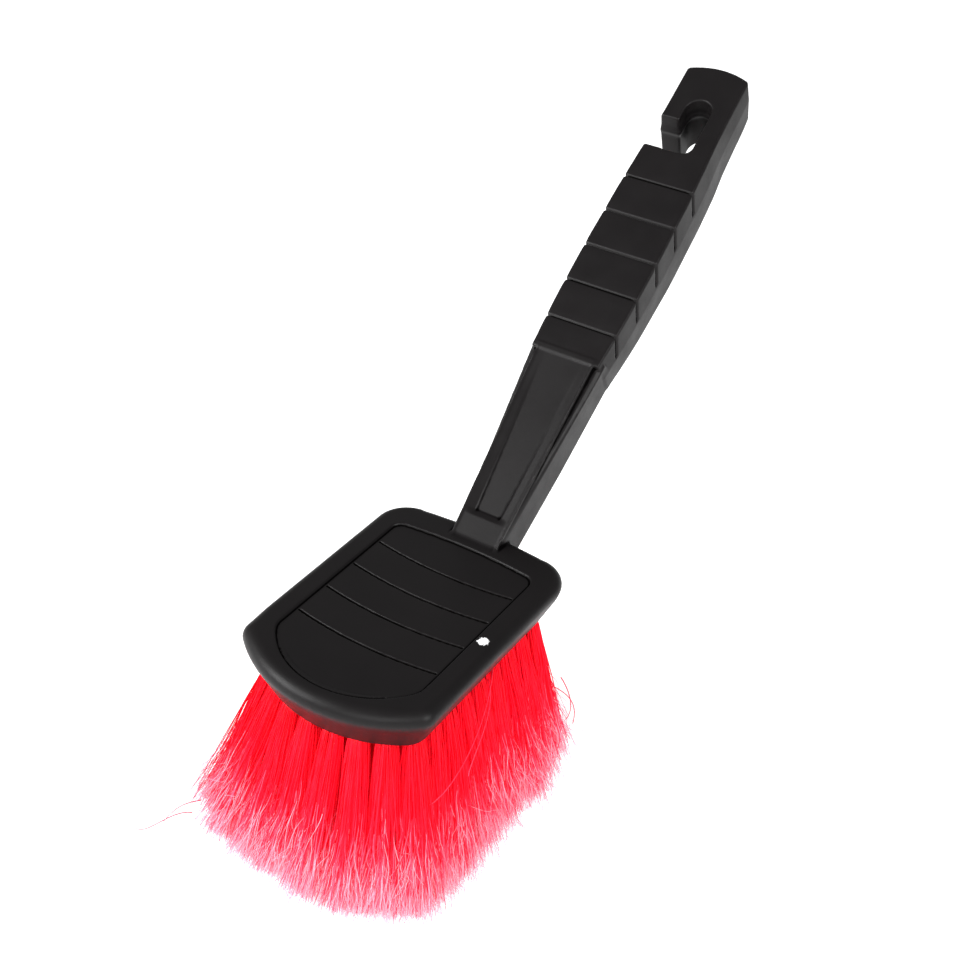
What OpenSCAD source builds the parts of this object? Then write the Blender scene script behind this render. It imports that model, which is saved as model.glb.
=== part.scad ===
// Short-handled wheel brush: one moulding for head, neck, grip and hang hook, with
// stapled tufts of soft filament. Millimetres, +Z up, standing on the tips of the tufts.

/* [Head] */
// Widest width of the head, at the crest of its rim
head_w = 80.4; // [74:0.2:86]
// Length of the head, from the front of the arched end to the back edge
head_l = 113; // [106:0.5:120]
// Height of the head, from its underside to the panel on top
head_h = 18.5; // [16:0.5:22]
// How far the side walls draw in from the crest of the rim to the underside
wall_draft = 7.2; // [4:0.1:8]
// Height of the rim above the recessed panel
rim_h = 0.8; // [0.5:0.1:1.5]
// Radius of the rolled edge of the rim
rim_r = 4.3; // [3:0.1:6]
// Number of thin arched grooves across the panel
panel_grooves = 4; // [2:1:5]

/* [Neck and grip] */
// Length of the neck along its top, from the head to the bend
neck_l = 79.4; // [70:0.2:90]
// Rise of the neck above the level of the head, in degrees
neck_angle = 40.9; // [36:0.1:45]
// Width of the neck where it leaves the head
neck_w = 20.4; // [18:0.2:23]
// Rise of the grip above the level of the head, in degrees
grip_angle = 35.1; // [32:0.1:38]
// Width of the grip at its fullest point
grip_w = 33; // [30:0.2:35]
// Depth of the grip at its fullest point
grip_d = 25.4; // [23:0.2:28]
// Number of grooves across the grip
grip_grooves = 5; // [3:1:5]
// Distance from one grip groove to the next
grip_pitch = 17; // [15:0.1:17.5]

/* [Hang hook] */
// Length from the bend to the far end of the hook
hook_end = 139; // [136:0.5:144]
// Width of the tab that the hook is cut in
tab_w = 27.4; // [25:0.2:28.6]
// Depth of the tab where it leaves the grip
tab_d = 22.6; // [20:0.2:24]
// Width of the hang slot, which is also the diameter of the hook's round seat
slot_w = 11.4; // [10:0.2:12.6]
// Width of the throat that opens the slot to the left side
throat_w = 14.5; // [12:0.1:15.5]

/* [Tufts] */
// Height of the panel on top of the head above the tips of the tufts
stand_h = 80; // [74:0.5:84]
// Diameter of a tuft where it leaves its hole
tuft_d = 5; // [4:0.1:5.6]
// Diameter of a tuft at its tips
tip_d = 10.7; // [8:0.1:11]
// Depth of the blind hole that holds a tuft
hole_depth = 11; // [9:0.5:12]
// How much wider the field of tips is than the field of roots
fan_x = 1.5; // [1.4:0.01:1.56]
// How much longer the field of tips is than the field of roots
fan_y = 1.22; // [1.21:0.01:1.3]

/* [Hidden] */
RING_TUFTS = [30, 17, 11];       // tufts in the outer, middle and inner ring
RING_INSET = [10.6, 21.4, 33.0]; // distance of each ring of roots from the crest of the rim
$fn = 64;

rim_z = stand_h + rim_h;
crest_z = rim_z - rim_r;
under_z = stand_h - head_h;
panel_w = head_w - 19.4;
panel_front = 6.7;    // from the front of the head to the front of the panel
panel_back = 13.7;    // from the back edge of the head to the back of the panel
panel_corner = 5;
front_r = 58;         // arch of the front of the head
panel_front_r = 35.3; // arch of the front of the panel
back_r = 210;         // slight arch of the back of the head
back_corner = 14;
front_corner = 7;
panel_front_corner = 9;
first_groove = 15.6;  // from the back of the panel to its first groove
groove_pitch = 16.1;
groove_arc = 156;     // radius of the arched panel grooves
groove_w = 0.9;
groove_deep = 0.8;
fan_back = 26;        // from the back edge of the head to the line where tufts don't lean along Y

neck_in = 8.4;        // from the back edge of the head forward to the top of the neck
neck_rise = 2.3;      // height of the top of the neck there, above the panel
bury = 8;             // how far the neck runs on inside the head
first_grip_groove = 12.4;
seat_back = 22.4;       // from the end of the hook to the centre of its seat
throat_end = 28;        // from the end of the hook to the far wall of the throat
grip_stop = hook_end - throat_end - throat_w;
end_arc = 34;         // radius of the rounded far end of the hook
draw = 15;            // lean of the hook's walls back from the normal of the grip, in degrees
groove_cut = [1.3, 1.8]; // width of a grip groove, and twice its depth on top
groove_reach = 9;     // how far a grip groove runs down the sides
groove_lean = 25;     // lean of that run back from the normal of the grip, in degrees
groove_bite = 2.1;    // how far it cuts in from the fullest width of the grip
recess_deep = 0.1;    // depth of the neck's recess where it ends at the grip
recess_tilt = 1.1;    // how much steeper its floor is than the neck, in degrees
fit = 0.05;           // gap between a tuft and the wall of its hole
seam = 37;            // turns each drill so that its seam lies clear of the way the hole leans
staple = [6.6, 0.5, 2.4];
staple_up = 3;        // from the closed end of a hole down to the staple
big = 400;

// Half sections along the handle: distance from the bend, width on top, width at the parting
// line, width below, depth, and the radii of the upper and lower edges.
STATIONS = [
    [-neck_l - bury, neck_w - 0.6, neck_w - 0.4, neck_w - 0.6, 14, 1, 2],
    [-neck_l, neck_w - 0.4, neck_w, neck_w - 0.2, 18.3, 1.2, 2],
    [-neck_l / 2, neck_w + 4.6, neck_w + 5.8, neck_w + 5, 19, 2, 3],
    [-4, grip_w - 3.8, grip_w - 1.8, grip_w - 4.4, 20.5, 1.6, 4],
    [3, grip_w - 3.2, grip_w - 1.4, grip_w - 3.4, 21.5, 1, 4],
    [24, grip_w - 1.2, grip_w - 0.4, grip_w - 2.2, grip_d - 1, 1, 4.5],
    [50, grip_w - 1, grip_w, grip_w - 1.4, grip_d, 1, 4.5],
    [78, grip_w - 2.2, grip_w - 0.8, grip_w - 1.8, grip_d - 0.6, 1, 4.5],
    [grip_stop - 2, grip_w - 3.8, grip_w - 2.2, grip_w - 3, grip_d - 1.4, 1, 4],
    [grip_stop + 8, tab_w + 0.6, tab_w + 1.8, tab_w + 1, tab_d, 1, 3.5],
    [hook_end - 24, tab_w, tab_w + 1.2, tab_w + 0.4, tab_d - 1.2, 1, 3],
    [hook_end - 13, tab_w - 0.2, tab_w + 1, tab_w + 0.2, tab_d - 2.2, 1, 3],
    [hook_end - 2, tab_w - 0.4, tab_w + 0.8, tab_w - 1, tab_d - 5, 1, 2.5],
    [hook_end, tab_w - 4, tab_w - 3.4, tab_w - 5.6, tab_d - 7, 1, 2.5]
];
parting = 0.42; // the parting line's share of the depth
end_run = 22;   // length over which the handle takes up the slant of its end
bow_run = 12;   // length over which it takes up the bow of its end

// The brush is placed so that its origin is under the middle of its whole length.
bend = [-neck_in + neck_l * cos(neck_angle), stand_h + neck_rise + neck_l * sin(neck_angle)];
far_y = max([for (s = STATIONS, p = section(s)) placed(p, s).y]);
front_tip = min([for (root = ring_points(0)) tip_at(root).y]);
front_lean = atan2(RING_INSET[0] - head_l - front_tip, under_z);
near_y = front_tip - tip_d / 2 / cos(front_lean);
mid_y = (far_y + near_y) / 2;

function tuft_name(ring, i) = str("tuft_", ["outer", "middle", "inner"][ring], "_", i < 10 ? "0" : "", i);
function arc(cx, cy, r, a0, a1, n) =
    [for (i = [0:n]) let (a = a0 + (a1 - a0) * i / n) [cx + r * cos(a), cy + r * sin(a)]];

// ---- outlines of the head, its panel and the rings of tufts ----

// Right half of an outline with a bowed back, straight sides and an arched front, from the
// middle of its back to the middle of its front. w is half its width, r the front's radius.
function half_outline(w, back, front, r, back_round, front_round) =
    let (tilt = asin((w - back_round) / back_r),
         corner_y = back - back_r * (1 - cos(tilt)) - back_round * cos(tilt),
         centre_y = front + r,
         run = w - front_round,
         drop = sqrt((r - front_round) * (r - front_round) - run * run),
         turn = atan2(-drop, run))
    concat(arc(0, back - back_r, back_r, 90, 90 - tilt, 4),
           arc(w - back_round, corner_y, back_round, 90 - tilt, 0, 7),
           arc(run, centre_y - drop, front_round, 0, turn, 5),
           arc(0, centre_y, r, turn, -90, 10));
function mirrored(half) =
    concat(half, [for (i = [len(half) - 2:-1:1]) [-half[i].x, half[i].y]]);
// The outline of the head, drawn in from the crest of its rim.
function head_outline(inset) =
    mirrored(half_outline(head_w / 2 - inset, -inset, inset - head_l, front_r - inset,
                          max(back_corner - inset, 4), max(front_corner - inset, 2.5)));
function whole_ring(inset) = let (path = head_outline(inset)) concat(path, [path[0]]);
function lengths(path, i = 0, sum = 0) =
    i == len(path) - 1 ? [sum]
    : concat([sum], lengths(path, i + 1, sum + norm(path[i + 1] - path[i])));
// The point at a given length along a path.
function along(path, sums, s, i = 0) =
    s <= sums[i + 1] || i == len(path) - 2
    ? path[i] + (path[i + 1] - path[i]) * (s - sums[i]) / (sums[i + 1] - sums[i])
    : along(path, sums, s, i + 1);
// The roots of one ring, evenly spaced and mirrored left to right.
function ring_points(ring) =
    let (path = whole_ring(RING_INSET[ring]), sums = lengths(path), n = RING_TUFTS[ring],
         total = sums[len(sums) - 1])
    [for (i = [0:n - 1]) along(path, sums, (i + 0.5) * total / n)];
function tip_at(root) = [root.x * fan_x, -fan_back + (root.y + fan_back) * fan_y];

// Stands a child on the axis of a tuft: z = 0 is the mouth of the hole and +Z runs into the head.
module on_tuft(root) {
    tip = tip_at(root);
    lean = [root.x - tip.x, root.y - tip.y, under_z];
    translate([root.x, root.y, under_z])
        rotate([0, acos(lean.z / norm(lean)), atan2(lean.y, lean.x)])
            children();
}

module tuft_hole(root) {
    clear = 4; // the drill starts this far outside the head
    on_tuft(root)
        translate([0, 0, -clear])
            rotate([0, 0, seam])
                cylinder(d = tuft_d + 2 * fit, h = hole_depth + clear);
}

module staple_plate() {
    translate([0, 0, hole_depth - staple_up])
        cube(staple, center = true);
}

module tuft(root) {
    tip = tip_at(root);
    long = norm([root.x - tip.x, root.y - tip.y, under_z]);
    past = 4; // run past the floor before the tips are trimmed level
    color("red")
        difference() {
            on_tuft(root) {
                cylinder(d = tuft_d, h = hole_depth);
                translate([0, 0, -long - past])
                    cylinder(d1 = tip_d, d2 = tuft_d, h = long + past);
            }
            on_tuft(root) staple_plate();
            translate([-big / 2, -big / 2, -big])
                cube(big);
        }
}

module tuft_staples() {
    color("silver")
        for (ring = [0:2], root = ring_points(ring))
            on_tuft(root) staple_plate();
}

// ---- the head ----

module head_slab(inset, z) {
    translate([0, 0, z])
        linear_extrude(0.01)
            polygon(head_outline(inset));
}

module head_block() {
    hull() {
        head_slab(wall_draft, under_z);
        for (a = [0:15:90])
            head_slab(rim_r * (1 - cos(a)), crest_z + rim_r * sin(a) - 0.01);
    }
}

module panel_recess() {
    translate([0, 0, stand_h])
        linear_extrude(big)
            polygon(mirrored(half_outline(panel_w / 2, -panel_back, panel_front - head_l,
                                          panel_front_r, panel_corner, panel_front_corner)));
    for (i = [0:panel_grooves - 1])
        translate([0, -panel_back - first_groove - i * groove_pitch, stand_h - groove_deep])
            arched_groove();
}

// A thin groove across the panel, its middle bowed toward the front.
module arched_groove() {
    reach = sqrt(groove_arc * groove_arc - panel_w * panel_w / 4);
    swing = asin(panel_w / 2 / groove_arc);
    translate([0, reach, 0])
        rotate([0, 0, -90 - swing])
            rotate_extrude(angle = 2 * swing)
                translate([groove_arc - groove_w / 2, 0])
                    square([groove_w, groove_deep + 1]);
}

// ---- neck, grip and hook ----

function half_section(s) =
    concat(arc(s[1] / 2 - s[5], -s[5], s[5], 90, 0, 3),
           [[s[2] / 2, -parting * s[4]]],
           arc(s[3] / 2 - s[6], s[6] - s[4], s[6], 0, -90, 5));
function section(s) =
    let (half = half_section(s), n = len(half))
    concat(half, [for (i = [n - 1:-1:0]) [-half[i].x, half[i].y]]);
// A point of a section in the brush's frame. The end face bows out along the handle, and
// it leans back as the walls of the hook do.
function placed(p, s) =
    let (a = s[0] < -3 ? neck_angle : grip_angle,
         left = hook_end - s[0],
         bow = max(0, 1 - left / bow_run) * p.x * p.x / (2 * end_arc),
         slant = max(0, 1 - left / end_run) * p.y * tan(draw),
         run = s[0] - bow + slant)
    [p.x, bend.x + run * cos(a) - p.y * sin(a), bend.y + run * sin(a) + p.y * cos(a)];

module handle_bar() {
    rows = len(STATIONS);
    n = len(section(STATIONS[0]));
    points = [for (s = STATIONS, p = section(s)) placed(p, s)];
    sides = [for (r = [0:rows - 2], i = [0:n - 1])
        let (a = r * n + i, b = r * n + (i + 1) % n)
        each [[a, b + n, b], [a, a + n, b + n]]];
    polyhedron(points = points, faces = concat(
        sides,
        [[for (i = [0:n - 1]) i]],
        [[for (i = [n - 1:-1:0]) (rows - 1) * n + i]]));
}

// Places a child on the top of the grip, with +Y along it and the bend at y = 0.
module on_grip() {
    translate([0, bend.x, bend.y])
        rotate([grip_angle, 0, 0])
            children();
}

module on_neck() {
    translate([0, bend.x, bend.y])
        rotate([neck_angle, 0, 0])
            children();
}

// The hang slot and the throat that opens it to the left side.
module hook_cut() {
    spread = cos(draw); // lengths along the grip, measured square to the leaning walls
    corner = 4;         // radius of the slot's near corner
    seat_y = (hook_end - seat_back) * spread;
    near_wall = grip_stop * spread;
    below = tab_d + 14;
    high = tab_d + 60;
    on_grip()
        rotate([-draw, 0, 0])
            translate([0, 0, -below]) {
                translate([0, seat_y, 0])
                    cylinder(d = slot_w, h = high);
                translate([-slot_w / 2, near_wall + corner, 0])
                    cube([slot_w, seat_y - near_wall - corner, high]);
                translate([slot_w / 2 - corner, near_wall + corner, 0])
                    cylinder(r = corner, h = high);
                translate([-tab_w, near_wall, 0])
                    cube([tab_w + slot_w / 2 - corner, throat_w * spread, high]);
            }
}

// A groove across the top of the grip that runs part of the way down both sides.
module grip_groove() {
    wide = 4;
    cube([grip_w + wide, groove_cut[0], groove_cut[1]], center = true);
    for (side = [0, 1])
        mirror([side, 0, 0])
            rotate([-groove_lean, 0, 0])
                translate([grip_w / 2 - groove_bite, -groove_cut[0] / 2, -groove_reach])
                    cube([wide, groove_cut[0], groove_reach]);
}

// A recess that is deepest next to the head and runs out at the grip.
module neck_recess() {
    on_neck()
        rotate([recess_tilt, 0, 0])
            translate([0, 0, -recess_deep])
                linear_extrude(4)
                    polygon([[-5.4, 8 - neck_l], [5.4, 8 - neck_l], [8.4, -4], [-8.4, -4]]);
}

module handle_body() {
    color("#1b1b1c")
        difference() {
            union() {
                head_block();
                handle_bar();
            }
            panel_recess();
            neck_recess();
            hook_cut();
            on_grip()
                for (i = [0:grip_grooves - 1])
                    translate([0, first_grip_groove + i * grip_pitch, 0])
                        grip_groove();
            for (ring = [0:2], root = ring_points(ring)) {
                tuft_hole(root);
                on_tuft(root) staple_plate();
            }
        }
}

module placed_on_floor() {
    translate([0, -mid_y, 0])
        children();
}

placed_on_floor() handle_body();
placed_on_floor() tuft_staples();
for (ring = [0:2], i = [1:RING_TUFTS[ring]])
    placed_on_floor() tuft(ring_points(ring)[i - 1]);
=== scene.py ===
import math

import bpy
import numpy as np
import openvdb
from mathutils import Matrix, Vector


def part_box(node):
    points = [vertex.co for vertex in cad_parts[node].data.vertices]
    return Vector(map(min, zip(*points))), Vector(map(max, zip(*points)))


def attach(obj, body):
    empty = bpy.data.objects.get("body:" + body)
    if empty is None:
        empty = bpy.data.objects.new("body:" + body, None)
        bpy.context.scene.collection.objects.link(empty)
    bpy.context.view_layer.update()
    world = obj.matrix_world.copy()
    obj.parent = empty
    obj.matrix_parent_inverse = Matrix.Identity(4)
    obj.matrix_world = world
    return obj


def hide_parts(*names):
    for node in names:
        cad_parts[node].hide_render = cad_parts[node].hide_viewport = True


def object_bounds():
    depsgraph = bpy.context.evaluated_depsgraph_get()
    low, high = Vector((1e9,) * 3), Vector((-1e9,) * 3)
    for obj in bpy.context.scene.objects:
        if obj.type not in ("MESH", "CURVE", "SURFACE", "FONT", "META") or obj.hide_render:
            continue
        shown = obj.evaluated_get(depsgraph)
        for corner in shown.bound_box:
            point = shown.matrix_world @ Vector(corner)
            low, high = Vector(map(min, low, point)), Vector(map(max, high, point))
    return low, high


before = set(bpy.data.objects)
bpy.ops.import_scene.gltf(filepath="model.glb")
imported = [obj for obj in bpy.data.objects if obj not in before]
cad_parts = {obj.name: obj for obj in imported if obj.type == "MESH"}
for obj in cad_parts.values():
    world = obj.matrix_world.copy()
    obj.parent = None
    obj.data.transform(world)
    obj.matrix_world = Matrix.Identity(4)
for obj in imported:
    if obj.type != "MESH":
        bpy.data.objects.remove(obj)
cad_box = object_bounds()
MM = 0.001

# The moulding is modelled in millimetres in the head's own frame: y = 0 at the head's back
# edge, z = 0 at the floor. SHIFT_Y brings that frame to the brush's own.
HEAD_L = 113.0
SHIFT_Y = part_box("handle_body")[0].y / MM + HEAD_L

# ---------------------------------------------------------------- sizes, in millimetres
HEAD_W = 80.4
UNDER_Z = 61.5
PANEL_Z = 80.0
RIM_H = 0.8
RIM_R = 4.3
WALL_DRAFT = 7.2
FRONT_R = 58.0
BACK_R = 210.0
BACK_CORNER = 14.0
FRONT_CORNER = 7.0
UNDER_CORNER = 9.0
PANEL_W = 61.0
PANEL_FRONT = 6.7
PANEL_BACK = 13.7
PANEL_CORNER = 5.0
PANEL_FRONT_R = 35.3
PANEL_FRONT_CORNER = 9.0
PANEL_GROOVES = 4
FIRST_GROOVE = 15.6
GROOVE_PITCH = 16.1
GROOVE_ARC = 156.0

NECK_IN = 8.4
NECK_RISE = 2.3
NECK_L = 79.4
NECK_ANGLE = math.radians(40.9)
GRIP_ANGLE = math.radians(35.1)
NECK_BURY = 8.0
BEND_Y = -NECK_IN + NECK_L * math.cos(NECK_ANGLE)
BEND_Z = PANEL_Z + NECK_RISE + NECK_L * math.sin(NECK_ANGLE)
PARTING = 0.42
GRIP_GROOVES = 5
FIRST_GRIP_GROOVE = 12.4
GRIP_PITCH = 17.0

HOOK_END = 139.0
END_ARC = 34.0
SLOT_W = 11.4
SEAT_BACK = 22.4
THROAT_END = 28.0
THROAT_W = 14.5
THROAT_U = HOOK_END - THROAT_END - THROAT_W
# Walls that cross the handle lean back from its normal by this slope, as the mould opens.
DRAW = 0.27
SIDE_GROOVE_DRAW = 0.47

# The part of each tuft's hole that shows: its radius and its depth.
HOLE_R = 2.9
HOLE_SHOWN = 3.0
# A small pale spot on the right rim of the head.
PALE_SPOT = (33.4 * MM, (SHIFT_Y - 55.6) * MM, (PANEL_Z + 0.6) * MM)
PALE_SPOT_R = 0.0019

# The panel's recess and the roll round the head soften from here to the arched front.
SOFT_FROM = 30.0
SOFT_RUN = 20.0
SOFT_ROLL = 1.7
RECESS_LEAN = 0.35
SOFT_LEAN = 2.6
LINE_DEEP = 0.3
GROOVE_DEEP = 1.3


# ---------------------------------------------------------------- outlines in plan
def arc(cx, cy, r, a0, a1, n):
    a = np.radians(np.linspace(a0, a1, n + 1))
    return np.column_stack([cx + r * np.cos(a), cy + r * np.sin(a)])


def outline(w, back, front, r, back_round, front_round):
    """A closed outline with a bowed back, straight sides and an arched front."""
    tilt = math.degrees(math.asin((w - back_round) / BACK_R))
    corner_y = back - BACK_R * (1 - math.cos(math.radians(tilt)))
    corner_y -= back_round * math.cos(math.radians(tilt))
    run = w - front_round
    drop = math.sqrt((r - front_round) ** 2 - run ** 2)
    turn = math.degrees(math.atan2(-drop, run))
    half = np.vstack([
        arc(0, back - BACK_R, BACK_R, 90, 90 - tilt, 12),
        arc(w - back_round, corner_y, back_round, 90 - tilt, 0, 24),
        arc(run, front + r - drop, front_round, 0, turn, 16),
        arc(0, front + r, r, turn, -90, 32)])
    return np.vstack([half, half[-2:0:-1] * [-1, 1]])


def outline_distance(path, xs, ys):
    """Signed distance to a closed outline on a grid of points, negative inside."""
    px, py = np.meshgrid(xs, ys, indexing="ij")
    best = np.full(px.shape, 1e9)
    inside = np.zeros(px.shape, bool)
    for a, b in zip(path, np.roll(path, -1, axis=0)):
        dx, dy = b - a
        length = dx * dx + dy * dy
        if length < 1e-12:
            continue
        s = np.clip(((px - a[0]) * dx + (py - a[1]) * dy) / length, 0, 1)
        best = np.minimum(best, (px - a[0] - s * dx) ** 2 + (py - a[1] - s * dy) ** 2)
        if a[1] != b[1]:
            crosses = (a[1] > py) != (b[1] > py)
            inside ^= crosses & (px < dx * (py - a[1]) / (b[1] - a[1]) + a[0])
    return np.where(inside, -1, 1) * np.sqrt(best)


# ---------------------------------------------------------------- ways to join distances
def soft_max(a, b, k):
    h = np.clip(0.5 + 0.5 * (a - b) / k, 0, 1)
    return b + (a - b) * h + k * h * (1 - h)


def soft_min(a, b, k):
    return -soft_max(-a, -b, k)


def round_max(a, b, r):
    """The part inside both a and b, with an edge of radius r."""
    corner = np.sqrt(np.maximum(a + r, 0) ** 2 + np.maximum(b + r, 0) ** 2)
    return np.minimum(np.maximum(a, b), -r) + corner


def table(u, rows, column):
    """A smooth run through one column of a table of stations."""
    at = [row[0] for row in rows]
    value = [row[column] for row in rows]
    soft = 3.0
    return (np.interp(u - soft, at, value) + 2 * np.interp(u, at, value)
            + np.interp(u + soft, at, value)) / 4


# ---------------------------------------------------------------- the moulding as distances
CREST_Z = PANEL_Z + RIM_H - RIM_R
HEAD_OUTLINE = outline(HEAD_W / 2, 0, -HEAD_L, FRONT_R, BACK_CORNER, FRONT_CORNER)
UNDER_OUTLINE = outline(HEAD_W / 2 - WALL_DRAFT, -WALL_DRAFT, WALL_DRAFT - HEAD_L,
                        FRONT_R - WALL_DRAFT, BACK_CORNER - 4, UNDER_CORNER)
PANEL_OUTLINE = outline(PANEL_W / 2, -PANEL_BACK, PANEL_FRONT - HEAD_L,
                        PANEL_FRONT_R, PANEL_CORNER, PANEL_FRONT_CORNER)

# Stations along the neck: place, half width of the ridge on top, half width at the
# shoulder and below, depth, radius of the lower edge.
NECK = [(-88, 10.0, 10.0, 10.0, 18.0, 2.0), (-79.4, 10.1, 10.2, 10.2, 18.3, 2.0),
        (-40, 11.3, 13.0, 13.0, 19.0, 3.0), (-4, 12.4, 15.6, 14.3, 20.7, 4.0),
        (4, 12.6, 15.8, 14.6, 21.2, 4.0)]
SHOULDER = 3.2
LIP = 1.0
# Stations along the grip and the tab: place, half width of the top, at the parting line
# and below, depth, radius of the upper edge, radius of the lower edge.
GRIP = [(-2, 14.7, 15.7, 14.4, 20.5, 0.8, 4), (3, 14.9, 15.8, 14.8, 21.5, 0.8, 4),
        (12, 15.5, 16.0, 15.2, 23.0, 0.9, 4.5), (24, 15.9, 16.3, 15.4, 24.4, 0.9, 4.5),
        (50, 16.0, 16.5, 15.8, 25.4, 0.9, 4.5), (78, 15.4, 16.1, 15.6, 24.8, 0.9, 4.5),
        (93.7, 14.6, 15.4, 15.0, 24.0, 0.9, 4), (103.7, 14.0, 14.6, 14.2, 22.6, 0.9, 3.5),
        (115, 13.7, 14.3, 13.9, 21.4, 0.9, 3), (126, 13.6, 14.2, 13.8, 20.4, 0.9, 3),
        (139, 13.5, 14.1, 13.2, 17.4, 0.9, 2.5)]


def head_distance(xs, ys, z, sd_head, sd_under, sd_panel):
    rise, run = CREST_Z - UNDER_Z, WALL_DRAFT
    down = (CREST_Z - z) / rise
    wall = (sd_head * (1 - down) + sd_under * down) * rise / math.hypot(rise, run)
    side = soft_max(sd_head + 0 * z, wall, 2.0)
    to_front = np.clip((SOFT_FROM - HEAD_L - ys[None, :, None]) / SOFT_RUN, 0, 1)
    body = round_max(side, z - (PANEL_Z + RIM_H), RIM_R + SOFT_ROLL * to_front)
    body = round_max(body, UNDER_Z - z, 1.0)
    recess_lean = RECESS_LEAN + SOFT_LEAN * to_front
    recess = np.maximum(sd_panel + recess_lean * (PANEL_Z + RIM_H - z), PANEL_Z - z)
    # A fine line runs round the foot of the recess and fades towards the arched front.
    line_deep = LINE_DEEP * (1 - to_front)
    line = np.maximum(np.abs(sd_panel + 0.6) - 0.32, PANEL_Z - line_deep - z)
    body = soft_max(body, -np.minimum(recess, line), 0.3)
    x, y = xs[:, None, None], ys[None, :, None]
    reach = math.sqrt(GROOVE_ARC ** 2 - PANEL_W ** 2 / 4)
    for i in range(PANEL_GROOVES):
        cy = -PANEL_BACK - FIRST_GROOVE - i * GROOVE_PITCH + reach
        off = np.abs(np.hypot(x, y - cy) - GROOVE_ARC)
        channel = np.maximum(off * 0.95 - 0.44, PANEL_Z - GROOVE_DEEP - z)
        channel = np.maximum(channel, np.abs(x) - PANEL_W / 2 + 1.4)
        body = soft_max(body, -channel, 0.12)
    return body


def neck_distance(x, u, n):
    """A dished top between two fine ridges, shoulders that slope away, plain sides."""
    ridge, mid, low, depth, belly = (table(u, NECK, c) for c in (1, 2, 3, 4, 5))
    ax = np.abs(x)
    slope = np.clip((-n - LIP) / (SHOULDER - LIP), 0, 1)
    down = np.clip((-n - SHOULDER) / (depth - SHOULDER), 0, 1)
    width = ridge + (mid - ridge) * slope ** 0.85 + (low - mid) * down
    lean = np.maximum(mid - ridge, 0) / (SHOULDER - LIP)
    side = (ax - width) / np.sqrt(1 + np.where((slope > 0) & (slope < 1), lean, 0) ** 2)
    # The dish is deepest next to the head and runs out at the grip.
    start = u + NECK_L - 7.5
    share = np.clip(start / (NECK_L - 7.5), 0, 1)
    floor_w = 5.4 + 0.045 * start
    bank = np.clip((ridge - 1.0 - ax) / (ridge - 1.0 - floor_w), 0, 1)
    step = np.clip(0.5 + (floor_w - ax) / 0.6, 0, 1)
    deep = 1.5 * (1 - share) * np.clip(start / 2.2, 0, 1)
    bead = 0.3 * np.exp(-((ax - ridge + 0.45) / 0.5) ** 2) * np.clip(-u / 5, 0, 1)
    top = n + deep * (0.62 * bank + 0.38 * step) - bead
    body = round_max(side, top, 0.3)
    body = round_max(body, -depth - n, belly)
    body = np.maximum(body, u - 0.4)
    # A shallow channel runs along the foot of each ridge.
    channel = np.hypot(ax - ridge - 0.75, n + LIP + 0.2) - 0.7
    return soft_max(body, -channel, 0.4)


def grip_distance(x, u, n):
    top, mid, low, depth, edge, belly = (table(u, GRIP, c) for c in (1, 2, 3, 4, 5, 6))
    ax = np.abs(x)
    share = np.clip(-n / (PARTING * depth), 0, 1)
    down = np.clip((-n - PARTING * depth) / ((1 - PARTING) * depth), 0, 1)
    side = ax - (top + (mid - top) * share + (low - mid) * down)
    # Between grooves the grip is slightly full, and it falls away to each groove.
    slant = u - SIDE_GROOVE_DRAW * np.minimum(n, 0)
    pitch = (slant - FIRST_GRIP_GROOVE) / GRIP_PITCH
    on_grip = np.clip((THROAT_U - 3 - u) / 6, 0, 1) * np.clip((u + 2) / 4, 0, 1)
    near = np.abs(pitch - np.round(pitch)) * GRIP_PITCH
    fall = 0.12 * np.exp(-(near / 2.2) ** 2) * on_grip * np.clip(1 + n / 9, 0, 1)
    body = round_max(side, n, edge)
    shell = body
    body = body + fall
    body = round_max(body, -depth - n, belly)
    # The grooves are fine on top and open into wider notches down the sides.
    k = np.round(pitch)
    to_side = np.clip(0.5 + (side - n) / 1.6, 0, 1)
    depth_in = 0.95 + 0.35 * to_side
    flank = 0.62 + 0.25 * to_side
    cut = (np.abs(slant - FIRST_GRIP_GROOVE - k * GRIP_PITCH)
           - flank * np.minimum(shell + depth_in, depth_in)) * 0.85
    cut = np.maximum(cut, -8.8 - n)
    cut = np.where((k < -0.5) | (k > GRIP_GROOVES - 0.5), 9.0, cut)
    body = soft_max(body, -cut, 0.15)
    leaning = u - DRAW * n
    end = (leaning - (HOOK_END - x * x / (2 * END_ARC))) * 0.95
    body = round_max(body, end, 1.4)
    body = round_max(body, -2 - u, 0.8)
    return soft_max(body, -hook_distance(x, leaning, n), 0.5)


def hook_distance(x, u, n):
    """The open slot and its throat. Both narrow a little towards the parting line."""
    waist = 0.6 * np.exp(-((n + 7) / 1.4) ** 2)
    seat_u = HOOK_END - SEAT_BACK
    seat = np.hypot(x, u - seat_u) - SLOT_W / 2
    slot = np.maximum(np.abs(x) - SLOT_W / 2, np.maximum(u - seat_u, THROAT_U - u))
    corner = 4.0
    cx, cu = SLOT_W / 2 - corner, THROAT_U + corner
    beyond = np.hypot(np.maximum(x - cx, 0), np.maximum(cu - u, 0)) - corner
    slot = np.maximum(slot, np.where((x > cx) & (u < cu), beyond, -9.0))
    throat = np.maximum(np.maximum(x, THROAT_U - u), u - THROAT_U - THROAT_W)
    return soft_min(np.minimum(seat, slot), throat, 0.8) + waist


def along_handle(y, z, angle):
    dy, dz = y - BEND_Y, z - BEND_Z
    return (dy * math.cos(angle) + dz * math.sin(angle),
            dz * math.cos(angle) - dy * math.sin(angle))


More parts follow.
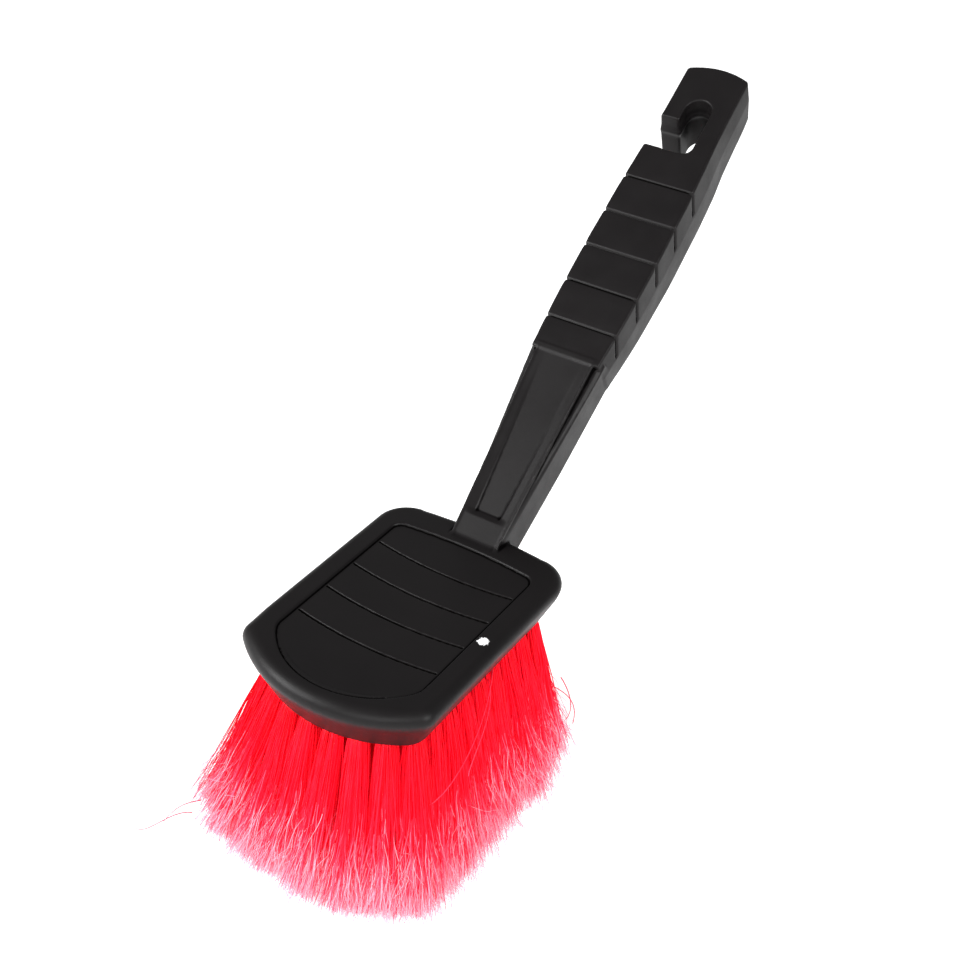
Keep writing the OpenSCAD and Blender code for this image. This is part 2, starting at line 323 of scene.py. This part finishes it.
def block_distance(xs, ys, zs, sd_head, sd_under, sd_panel, holes):
    """Distance to the moulding on one block of grid points."""
    x, y, z = xs[:, None, None], ys[None, :, None], zs[None, None, :]
    far = 30.0
    d = np.full((len(xs), len(ys), len(zs)), far)
    if zs[0] < PANEL_Z + 8 and ys[0] < 8:
        d = np.minimum(d, head_distance(xs, ys, z, sd_head, sd_under, sd_panel))
    if ys[-1] > -24:
        u1, n1 = along_handle(y, z, NECK_ANGLE)
        u2, n2 = along_handle(y, z, GRIP_ANGLE)
        handle = np.full(d.shape, far)
        if u1.min() < 8:
            handle = neck_distance(x, u1, n1)
            handle = np.maximum(handle, -NECK_L - NECK_BURY - u1)
        if u2.max() > -6:
            handle = soft_min(handle, grip_distance(x, u2, n2), 0.9)
        d = soft_min(d, handle, 1.0)
    for (hx, hy), (ax, ay, az) in holes:
        if abs(xs.mean() - hx) > 12 or abs(ys.mean() - hy) > 12 or zs[0] > UNDER_Z + 5:
            continue
        run = (z - UNDER_Z) / az
        drill = np.hypot(x - hx - ax * run, y - hy - ay * run) - HOLE_R
        d = soft_max(d, -np.maximum(drill, run - HOLE_SHOWN), 0.4)
    return d


def moulding_mesh(voxel, holes):
    """The moulding's surface, found block by block on a sparse grid."""
    size = 24
    low = np.array([-HEAD_W / 2 - 3, -HEAD_L - 3, UNDER_Z - 3])
    high = np.array([HEAD_W / 2 + 3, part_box("handle_body")[1].y / MM - SHIFT_Y + 3,
                     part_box("handle_body")[1].z / MM + 3])
    counts = np.ceil((high - low) / (voxel * size)).astype(int)
    xs, ys, zs = (low[i] + voxel * np.arange(counts[i] * size) for i in range(3))
    sd_head = outline_distance(HEAD_OUTLINE, xs, ys)
    sd_under = outline_distance(UNDER_OUTLINE, xs, ys)
    sd_panel = outline_distance(PANEL_OUTLINE, xs, ys)
    mids = [axis.reshape(-1, size).mean(1) for axis in (xs, ys, zs)]
    step = size // 2
    coarse = block_distance(mids[0], mids[1], mids[2], sd_head[step::size, step::size, None],
                            sd_under[step::size, step::size, None],
                            sd_panel[step::size, step::size, None], [])
    reach = voxel * size * 0.87 + 3.0
    band = 3 * voxel
    grid = openvdb.FloatGrid(background=band)
    for i, j, k in np.argwhere(coarse < reach):
        first = (int(i) * size, int(j) * size, int(k) * size)
        last = tuple(a + size - 1 for a in first)
        if coarse[i, j, k] < -reach:
            grid.fill(first, last, -band, False)
            continue
        sx, sy, sz = (slice(a, a + size) for a in first)
        d = block_distance(xs[sx], ys[sy], zs[sz], sd_head[sx, sy, None],
                           sd_under[sx, sy, None], sd_panel[sx, sy, None], holes)
        grid.copyFromArray(np.clip(d, -band, band), ijk=first)
    points, triangles, quads = grid.convertToPolygons(isovalue=0.0, adaptivity=0.0)
    points = points * voxel + low + [0, SHIFT_Y, 0]
    return points * MM, triangles, quads


# ---------------------------------------------------------------- meshes from arrays
def mesh_from_arrays(name, points, faces):
    """A smooth mesh from points and a list of equal-sided face arrays."""
    mesh = bpy.data.meshes.new(name)
    loops = np.concatenate([f.ravel() for f in faces]).astype(np.int32)
    sides = np.concatenate([np.full(len(f), f.shape[1]) for f in faces])
    starts = np.concatenate([[0], np.cumsum(sides)[:-1]]).astype(np.int32)
    mesh.vertices.add(len(points))
    mesh.vertices.foreach_set("co", np.asarray(points, np.float32).ravel())
    mesh.loops.add(len(loops))
    mesh.loops.foreach_set("vertex_index", loops)
    mesh.polygons.add(len(sides))
    mesh.polygons.foreach_set("loop_start", starts)
    mesh.update(calc_edges=True)
    mesh.validate()
    mesh.polygons.foreach_set("use_smooth", np.full(len(mesh.polygons), True))
    return mesh


def add_values(mesh, name, values):
    attribute = mesh.attributes.new(name, "FLOAT", "POINT")
    attribute.data.foreach_set("value", np.asarray(values, np.float32))


def new_piece(name, mesh, material, slot, *nodes):
    """A piece of the one body, in place of the CAD nodes that are named."""
    piece = bpy.data.objects.new(name, mesh)
    bpy.context.scene.collection.objects.link(piece)
    mesh.materials.append(material)
    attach(piece, "root")
    if nodes:
        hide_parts(*nodes)


def edge_wear_and_hollow_shade(mesh):
    """How far each point stands out from its neighbours, from 0 in a flat to 1 on an edge and -1
    in a hollow, where the plastic gets painted shade.
    """
    count = len(mesh.vertices)
    co = np.empty(count * 3)
    mesh.vertices.foreach_get("co", co)
    co = co.reshape(-1, 3)
    normal = np.empty(count * 3)
    mesh.vertices.foreach_get("normal", normal)
    normal = normal.reshape(-1, 3)
    edges = np.empty(len(mesh.edges) * 2, int)
    mesh.edges.foreach_get("vertices", edges)
    a, b = edges.reshape(-1, 2).T
    degree = np.bincount(np.concatenate([a, b]), minlength=count).clip(1)

    def averaged(values):
        total = np.bincount(a, values[b], count) + np.bincount(b, values[a], count)
        return total / degree

    spread = sum((averaged(co[:, i]) - co[:, i]) * normal[:, i] for i in range(3))
    standing = -spread / MM
    for _ in range(3):
        standing = averaged(standing)
    return np.clip(standing / 0.05, -1, 1)


# ---------------------------------------------------------------- materials
FLOOR_GLOW = 0.45
STUDIO_GLOW = 0.38


class Nodes:
    """Short names for the nodes of one material."""

    def __init__(self, name):
        self.material = bpy.data.materials.new(name)
        self.material.use_nodes = True
        self.tree = self.material.node_tree
        self.shader = self.tree.nodes["Principled BSDF"]

    def add(self, kind, **settings):
        node = self.tree.nodes.new(kind)
        for key, value in settings.items():
            setattr(node, key, value)
        return node

    def link(self, out, socket):
        self.tree.links.new(out, socket)

    def noise(self, scale, detail=3.0, roughness=0.5, stretch=(1, 1, 1)):
        place = self.add("ShaderNodeMapping")
        place.inputs["Scale"].default_value = stretch
        source = self.add("ShaderNodeTexCoord")
        self.link(source.outputs["Object"], place.inputs["Vector"])
        noise = self.add("ShaderNodeTexNoise")
        noise.inputs["Scale"].default_value = scale
        noise.inputs["Detail"].default_value = detail
        noise.inputs["Roughness"].default_value = roughness
        self.link(place.outputs["Vector"], noise.inputs["Vector"])
        return noise.outputs["Fac"]

    def ramp(self, source, *stops):
        ramp = self.add("ShaderNodeValToRGB")
        elements = ramp.color_ramp.elements
        while len(elements) < len(stops):
            elements.new(0.5)
        for element, (place, colour) in zip(elements, stops):
            element.position = place
            element.color = (*colour, 1)
        self.link(source, ramp.inputs["Fac"])
        return ramp.outputs["Color"]

    def span(self, source, low, high, to_low, to_high):
        node = self.add("ShaderNodeMapRange", clamp=True)
        values = (low, high, to_low, to_high)
        for key, value in zip(("From Min", "From Max", "To Min", "To Max"), values):
            node.inputs[key].default_value = value
        self.link(source, node.inputs["Value"])
        return node.outputs["Result"]

    def math(self, operation, a, b):
        node = self.add("ShaderNodeMath", operation=operation)
        for socket, value in zip(node.inputs, (a, b)):
            if isinstance(value, (int, float)):
                socket.default_value = value
            else:
                self.link(value, socket)
        return node.outputs["Value"]

    def mix(self, share, a, b):
        node = self.add("ShaderNodeMix", data_type="RGBA")
        for key, value in zip(("Factor", "A", "B"), (share, a, b)):
            sockets = [s for s in node.inputs if s.name == key and s.enabled]
            if isinstance(value, tuple):
                sockets[0].default_value = (*value, 1)
            else:
                self.link(value, sockets[0])
        return next(s for s in node.outputs if s.enabled)

    def bump(self, height, distance, strength, under=None):
        node = self.add("ShaderNodeBump")
        node.inputs["Distance"].default_value = distance
        node.inputs["Strength"].default_value = strength
        self.link(height, node.inputs["Height"])
        if under is not None:
            self.link(under, node.inputs["Normal"])
        return node.outputs["Normal"]

    def value(self, name):
        return self.add("ShaderNodeAttribute", attribute_name=name).outputs["Fac"]

    def near_point(self, point):
        """Distance from a point of the object, in metres."""
        source = self.add("ShaderNodeTexCoord")
        node = self.add("ShaderNodeVectorMath", operation="DISTANCE")
        self.link(source.outputs["Object"], node.inputs[0])
        node.inputs[1].default_value = point
        return node.outputs["Value"]


def black_plastic():
    """Satin black moulded plastic: fine grain, slow colour drift, edges rubbed pale and painted
    shade in the grooves and hollows.
    """
    m = Nodes("black_plastic")
    drift = m.noise(35, 3)
    wear_and_shade = m.value("edge")
    colour = m.mix(drift, (0.0040, 0.0035, 0.0037), (0.0064, 0.0055, 0.0057))
    rubbed = m.math("MULTIPLY", m.span(wear_and_shade, 0.35, 1.0, 0, 1),
                    m.span(m.noise(260, 4), 0.46, 0.66, 0, 1))
    colour = m.mix(rubbed, colour, (0.011, 0.010, 0.010))
    # Grooves and hollows are painted darker than the rest: painted shade.
    colour = m.mix(m.span(wear_and_shade, -0.42, -0.12, 0.9, 0), colour, (0.0012, 0.0011, 0.0011))
    # The pale spot has a ragged edge.
    ragged = m.span(m.noise(1100, 2), 0.3, 0.7, -0.0005, 0.0005)
    pale_spot = m.math("ADD", m.near_point(PALE_SPOT), ragged)
    pale_spot = m.span(pale_spot, PALE_SPOT_R - 0.0002, PALE_SPOT_R + 0.0002, 1, 0)
    colour = m.mix(pale_spot, colour, (0.85, 0.85, 0.85))
    m.link(colour, m.shader.inputs["Base Color"])
    rough = m.math("ADD", m.span(m.noise(90, 4), 0.3, 0.7, 0.36, 0.47),
                   m.span(wear_and_shade, 0.2, 1.0, 0, -0.07))
    m.link(rough, m.shader.inputs["Roughness"])
    m.link(m.span(wear_and_shade, -0.42, -0.10, 0.0, 0.14), m.shader.inputs["Specular IOR Level"])
    sink = m.bump(m.noise(28, 2), 0.00025, 0.6)
    grain = m.bump(m.noise(2600, 2, 0.6), 0.00003, 0.55, sink)
    m.link(m.bump(m.noise(700, 2), 0.00004, 0.35, grain), m.shader.inputs["Normal"])
    return m.material


def red_filament():
    """Soft filament, red at the root and paling to pink and off-white where it is flagged."""
    m = Nodes("red_filament")
    shade = m.value("shade")
    place = m.math("ADD", m.value("along"), m.span(shade, 0, 1, -0.12, 0.12))
    place = m.math("ADD", place, m.span(m.noise(120, 2), 0.3, 0.7, -0.05, 0.05))
    colour = m.ramp(place, (0.0, (0.80, 0.001, 0.010)), (0.14, (1.0, 0.003, 0.018)),
                    (0.62, (1.0, 0.006, 0.028)), (0.80, (1.0, 0.035, 0.085)),
                    (0.93, (1.0, 0.115, 0.20)), (1.0, (1.0, 0.35, 0.45)))
    dark = m.span(shade, 0, 0.25, 0.85, 1.0)
    tint = m.add("ShaderNodeMix", data_type="RGBA", blend_type="MULTIPLY")
    sockets = [s for s in tint.inputs if s.enabled]
    sockets[0].default_value = 1.0
    m.link(colour, sockets[1])
    m.link(dark, sockets[2])
    tinted = next(s for s in tint.outputs if s.enabled)
    m.link(tinted, m.shader.inputs["Base Color"])
    # The filament glows a little in its own colour, painted light that keeps its shadowed side
    # from going black.
    m.link(tinted, m.shader.inputs["Emission Color"])
    m.link(m.span(place, 0.05, 0.4, 0.0, 0.11), m.shader.inputs["Emission Strength"])
    m.link(m.span(m.noise(900, 2), 0.3, 0.7, 0.38, 0.55), m.shader.inputs["Roughness"])
    m.shader.inputs["Specular IOR Level"].default_value = 0.12
    return m.material


def staple_steel():
    """Drawn flat wire with fine lines."""
    m = Nodes("staple_steel")
    m.link(m.mix(m.noise(400, 3), (0.5, 0.5, 0.48), (0.68, 0.68, 0.66)),
           m.shader.inputs["Base Color"])
    m.shader.inputs["Metallic"].default_value = 1.0
    lines = m.noise(3000, 2, 0.5, (1, 0.1, 0.1))
    m.link(m.span(lines, 0.3, 0.7, 0.22, 0.4), m.shader.inputs["Roughness"])
    m.link(m.bump(lines, 0.00002, 0.5), m.shader.inputs["Normal"])
    return m.material


def pale_floor():
    """A plain pale floor that glows a little, so that it reads as white."""
    m = Nodes("pale_floor")
    m.link(m.mix(m.noise(1.5, 2), (0.90, 0.90, 0.90), (0.93, 0.93, 0.93)),
           m.shader.inputs["Base Color"])
    m.shader.inputs["Roughness"].default_value = 0.8
    m.shader.inputs["Specular IOR Level"].default_value = 0.1
    m.shader.inputs["Emission Color"].default_value = (1, 1, 1, 1)
    m.shader.inputs["Emission Strength"].default_value = FLOOR_GLOW
    return m.material


# ---------------------------------------------------------------- tufts
TIPS_WITHIN = 0.05
END_WITHIN = 2.2


def tuft_axis(node):
    """Centre of a tuft's tips, of its root end and of its mouth in the head's underside, from
    its CAD solid, in millimetres."""
    co = np.array([v.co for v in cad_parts[node].data.vertices]) / MM
    tip = co[co[:, 2] < TIPS_WITHIN].mean(0)
    end = co[co[:, 2] > co[:, 2].max() - END_WITHIN].mean(0)
    root = end + (tip - end) * (end[2] - UNDER_Z) / end[2]
    return tip, end, root


def tube_mesh(name, paths, widths, along, shade):
    """Thin three-sided tubes along paths. paths is (count, steps, 3) and widths (count, steps)."""
    count, steps, _ = paths.shape
    tangent = np.gradient(paths, axis=1)
    tangent /= np.linalg.norm(tangent, axis=2, keepdims=True).clip(1e-9)
    side = np.cross(tangent, [0.31, 0.87, 0.39])
    side /= np.linalg.norm(side, axis=2, keepdims=True)
    other = np.cross(tangent, side)
    angles = np.radians([90, 210, 330])
    ring = (side[:, :, None] * np.cos(angles)[None, None, :, None]
            + other[:, :, None] * np.sin(angles)[None, None, :, None])
    points = paths[:, :, None] + ring * (widths / 2)[:, :, None, None]
    first = np.arange(count)[:, None, None] * steps * 3
    row = np.arange(steps - 1)[None, :, None] * 3
    corner = np.arange(3)[None, None, :]
    after = (corner + 1) % 3
    base = first + row
    quads = np.stack([base + corner, base + after, base + 3 + after, base + 3 + corner], -1)
    start = first[:, 0, 0]
    top = start + (steps - 1) * 3
    caps = np.vstack([np.stack([start + 2, start + 1, start], -1),
                      np.stack([top, top + 1, top + 2], -1)])
    mesh = mesh_from_arrays(name, points.reshape(-1, 3) * MM, [quads.reshape(-1, 4), caps])
    add_values(mesh, "along", np.repeat(along.ravel(), 3))
    add_values(mesh, "shade", np.repeat(shade, steps * 3))
    return mesh


def in_disc(rng, count):
    """Points spread evenly over a disc of radius 1."""
    angle = rng.uniform(0, 2 * np.pi, count)
    radius = rng.uniform(0, 1, count) ** 0.5
    return np.column_stack([radius * np.cos(angle), radius * np.sin(angle)])


SEED = 58
# Points along each filament, and how many filaments and split ends a tuft of each ring has.
STEPS = 12
FILAMENTS = {"outer": 460, "middle": 230, "inner": 150}
WISPS = {"outer": 330, "middle": 80, "inner": 30}
# A bundle's radius in its hole and at its tips, what it swells by below the head, how deep it
# goes into the hole and the number of clumps its tips gather in.
ROOT_R = 2.9
TIP_R = 8.4
SWELL = 1.7
BURIED = 3.0
CLUMPS = 9
# How far the tips flare outwards, are combed forward, lean as a tuft and wander one by one.
FLARE = {"outer": 1.2, "middle": 0.3, "inner": 0.3}
FORWARD = 2.5
TUFT_LEAN = 1.3
WANDER = 1.8
# One filament in ten is cut short, and none goes through the floor.
SHORT_SHARE = 0.1
SHORT_BY = 0.16
LEAST_Z = 0.35
# How far split ends drift and curl, and the least height of their tips.
WISP_DRIFT = 2.9
WISP_CURL = 1.3
WISP_LEAST_Z = 0.25
# Widths, as a range between filaments or as a taper from root to tip.
FILAMENT_W = (0.33, 0.45)
WISP_W = (0.26, 0.14)
STRAY_W = (0.5, 0.36)
# No filament strays further than this beyond the field of tips in the CAD.
OVERHANG = 10.0
FIELD_LOW = np.array([cad_box[0][0], cad_box[0][1]]) / MM - OVERHANG
FIELD_HIGH = np.array([cad_box[1][0], cad_box[1][1]]) / MM + OVERHANG


def filament_paths(rng, root, tip, count, flare):
    """Centrelines of one tuft's filaments, from their holes to their tips."""
    t = np.linspace(0, 1, STEPS)[None, :]
    length = np.linalg.norm(tip - root)
    axis = (tip - root) / length
    right = np.cross(axis, [0, 1, 0])
    right /= np.linalg.norm(right)
    ahead = np.cross(right, axis)
    start = in_disc(rng, count)
    clump = in_disc(rng, CLUMPS)
    own = start + rng.normal(0, 0.34, (count, 2))
    end = 0.5 * own + 0.5 * clump[rng.integers(0, CLUMPS, count)]
    end += rng.normal(0, 0.14, (count, 2))
    swell = ROOT_R * (1 - t) + SWELL * np.sin(np.pi * t ** 0.7) * (1 - t)
    spread = start[:, None] * swell[..., None]
    spread = spread + TIP_R * end[:, None] * (t ** 1.1)[..., None]
    wander = rng.normal(0, WANDER, (count, 1, 2)) * (t ** 3)[..., None]
    phase = rng.uniform(0, 2 * np.pi, (count, 1, 2))
    waves = rng.uniform(1.2, 2.4, (count, 1, 1))
    wiggle = np.sin(phase + 2 * np.pi * waves * t[..., None]) * (t ** 2)[..., None] * 0.6
    spread = spread + wander + wiggle
    short = SHORT_BY * (rng.random((count, 1)) > 1 - SHORT_SHARE)
    reach = 1 - np.abs(rng.normal(0, 0.03, (count, 1))) - short
    run = -BURIED + (length + BURIED) * t * reach
    bow = flare[None, None, :] * (t ** 2.5)[..., None]
    paths = (root + axis * run[..., None] + right * spread[..., :1] + ahead * spread[..., 1:]
             + bow)
    paths[:, :, 2] = np.maximum(paths[:, :, 2], LEAST_Z)
    return paths


def wisp_paths(rng, paths, count):
    """Fine split ends that leave the lower part of some filaments and curl away."""
    start = rng.integers(STEPS // 2 - 1, STEPS - 3, count)
    parent = paths[rng.integers(0, len(paths), count)]
    s = np.linspace(0, 1, STEPS)
    at = start[:, None] + (STEPS - 1 - start)[:, None] * s[None, :]
    low = np.minimum(at.astype(int), STEPS - 2)
    share = (at - low)[..., None]
    rows = np.arange(count)[:, None]
    fine = parent[rows, low] * (1 - share) + parent[rows, low + 1] * share
    far = np.where(rng.random((count, 1, 1)) > 0.9, 2.2, 1.0)
    drift = rng.normal(0, WISP_DRIFT, (count, 1, 3)) * far * s[None, :, None] ** 1.5
    curl = np.sin(rng.uniform(0, 6.28, (count, 1, 3)) + 8 * s[None, :, None])
    fine = fine + drift + curl * WISP_CURL * s[None, :, None]
    fine[:, :, 2] = np.maximum(fine[:, :, 2], WISP_LEAST_Z)
    return fine


def tuft_piece(node, ring, rng, material, centre):
    """The filaments and split ends of one tuft, in place of its CAD cone."""
    tip, _, root = tuft_axis(node)
    few = 1
    count, wisps = FILAMENTS[ring] // few, WISPS[ring] // few
    out = root[:2] - centre
    out = out / max(np.linalg.norm(out), 1e-6)
    lean = rng.normal(0, TUFT_LEAN, 2)
    tip = tip + np.array([lean[0], lean[1], 0])
    flare = np.array([out[0], out[1], 0]) * FLARE[ring] - np.array([0, FORWARD, 0])
    paths = filament_paths(rng, root, tip, count, flare)
    t = np.linspace(0, 1, STEPS)[None, :]
    widths = rng.uniform(*FILAMENT_W, (count, 1)) * (1 - 0.55 * t ** 3)
    thin = np.linspace(*WISP_W, STEPS)[None, :] * np.ones((wisps, 1))
    along = np.concatenate([t * np.ones((count, 1)), (0.78 + 0.28 * t) * np.ones((wisps, 1))])
    shade = np.concatenate([rng.random(count), rng.uniform(0.4, 1.0, wisps)])
    paths = np.concatenate([paths, wisp_paths(rng, paths, wisps)])
    widths = np.concatenate([widths, thin])
    paths[:, :, :2] = np.clip(paths[:, :, :2], FIELD_LOW, FIELD_HIGH)
    mesh = tube_mesh(node + "_bundle", paths, widths, along, shade)
    new_piece(node + "_bundle", mesh, material, "red_filament", node)


# Loose filaments, each as points in the head's frame: one trails from the front left corner,
# one lies across the right side and a few stand off the back of the right side.
STRAYS = [
    [(-40, -127, 14), (-46, -132, 12.5), (-51, -137.5, 9), (-54.5, -141.2, 10)],
    [(-42, -120, 13), (-47, -124, 11), (-50, -127, 8), (-51, -131, 6)],
    [(33, -47, 62), (41, -66, 56), (43, -84, 46), (38, -96, 37)],
    [(34, -52, 61), (41, -62, 56), (44, -74, 49), (45, -80, 43)],
    [(44, -14, 39), (46, -11, 31), (47, -9, 22), (45, -8, 13)],
    [(45, -22, 41), (48, -17, 35), (50, -13, 27), (50.5, -13, 18)],
    [(46, -30, 35), (49.5, -25, 26), (50.5, -23, 17), (49, -22, 10)]]


def stray_piece(rng, material):
    """The loose filaments, each a smooth curve through its points."""
    s = np.linspace(0, 1, STEPS)
    paths = []
    for knots in STRAYS:
        knots = np.array(knots) + [0, SHIFT_Y, 0]
        at = np.linspace(0, 1, len(knots))
        fit = [np.polyfit(at, knots[:, i], 3) for i in range(3)]
        paths.append(np.column_stack([np.polyval(f, s) for f in fit]))
    paths = np.array(paths)
    count = len(paths)
    widths = np.linspace(*STRAY_W, STEPS)[None, :] * np.ones((count, 1))
    along = (0.62 + 0.12 * s)[None, :] * np.ones((count, 1))
    mesh = tube_mesh("loose_filaments", paths, widths, along, rng.uniform(0.6, 1.0, count))
    new_piece("loose_filaments", mesh, material, "red_filament")


# ---------------------------------------------------------------- build
FINE_VOXEL = 0.42
tufts = sorted(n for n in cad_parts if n.startswith("tuft_") and n != "tuft_staples")
holes = []
for node in tufts:
    tip, end, root = tuft_axis(node)
    lean = (end - tip) / np.linalg.norm(end - tip)
    holes.append(((root[0], root[1] - SHIFT_Y), tuple(lean)))
points, triangles, quads = moulding_mesh(FINE_VOXEL, holes)
faces = [f for f in (triangles, quads) if len(f)]
body_mesh = mesh_from_arrays("brush_moulding", points, faces)
add_values(body_mesh, "edge", edge_wear_and_hollow_shade(body_mesh))
new_piece("brush_moulding", body_mesh, black_plastic(), "black_moulding", "handle_body")

filament = red_filament()
rng = np.random.default_rng(SEED)
roots = np.array([[h[0][0], h[0][1] + SHIFT_Y] for h in holes])
for node in tufts:
    tuft_piece(node, node.split("_")[1], rng, filament, roots.mean(0))
stray_piece(rng, filament)

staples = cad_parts["tuft_staples"]
staples.data.materials.clear()
staples.data.materials.append(staple_steel())

# ---------------------------------------------------------------- floor, lights, camera
bpy.ops.mesh.primitive_plane_add(size=8, location=(0, 0, 0))
floor = bpy.context.object
floor.name = "floor"
floor.data.materials.append(pale_floor())

bpy.context.scene.view_settings.view_transform = "Standard"
world = bpy.data.worlds.new("studio")
bpy.context.scene.world = world
world.use_nodes = True
world.node_tree.nodes["Background"].inputs["Color"].default_value = (1, 1, 1, 1)
world.node_tree.nodes["Background"].inputs["Strength"].default_value = STUDIO_GLOW


LIT_POINT = Vector((0, 0, 0.08))


def soft_light(name, direction, distance, size, power):
    """A round lamp at a distance from the brush, turned towards it."""
    data = bpy.data.lights.new(name, "AREA")
    data.shape = "DISK"
    data.size = size
    data.energy = power
    light = bpy.data.objects.new(name, data)
    bpy.context.scene.collection.objects.link(light)
    way = Vector(direction).normalized()
    light.location = LIT_POINT + way * distance
    light.rotation_mode = "QUATERNION"
    light.rotation_quaternion = way.to_track_quat("Z", "Y")


soft_light("key", (-0.62, -0.62, 0.45), 1.6, 0.9, 38)
soft_light("front", (0.25, -0.86, 0.42), 1.7, 0.9, 13)
soft_light("fill_right", (0.84, -0.25, 0.52), 1.7, 0.9, 26)

# The camera's place and turn come from a fit to the outline of the head, neck and grip.
CAMERA_RIGHT = Vector((0.84505, 0.53225, 0.05088))
CAMERA_DOWN = Vector((0.34183, -0.46462, -0.81687))
CAMERA_AHEAD = Vector((-0.41114, 0.70770, -0.57457))
CAMERA_AT = Vector((229.37, SHIFT_Y - 394.77, PANEL_Z + 339.32)) * MM
SENSOR = 36
# Focal length over the width of the picture.
FOCAL_SHARE = 1500 / 980
turn = Matrix((CAMERA_RIGHT, -CAMERA_DOWN, -CAMERA_AHEAD)).transposed()
camera_data = bpy.data.cameras.new("camera")
camera_data.sensor_width = SENSOR
camera_data.lens = SENSOR * FOCAL_SHARE
camera_data.clip_start = 0.01
camera = bpy.data.objects.new("camera", camera_data)
bpy.context.scene.collection.objects.link(camera)
camera.matrix_world = Matrix.Translation(CAMERA_AT) @ turn.to_4x4()
bpy.context.scene.camera = camera
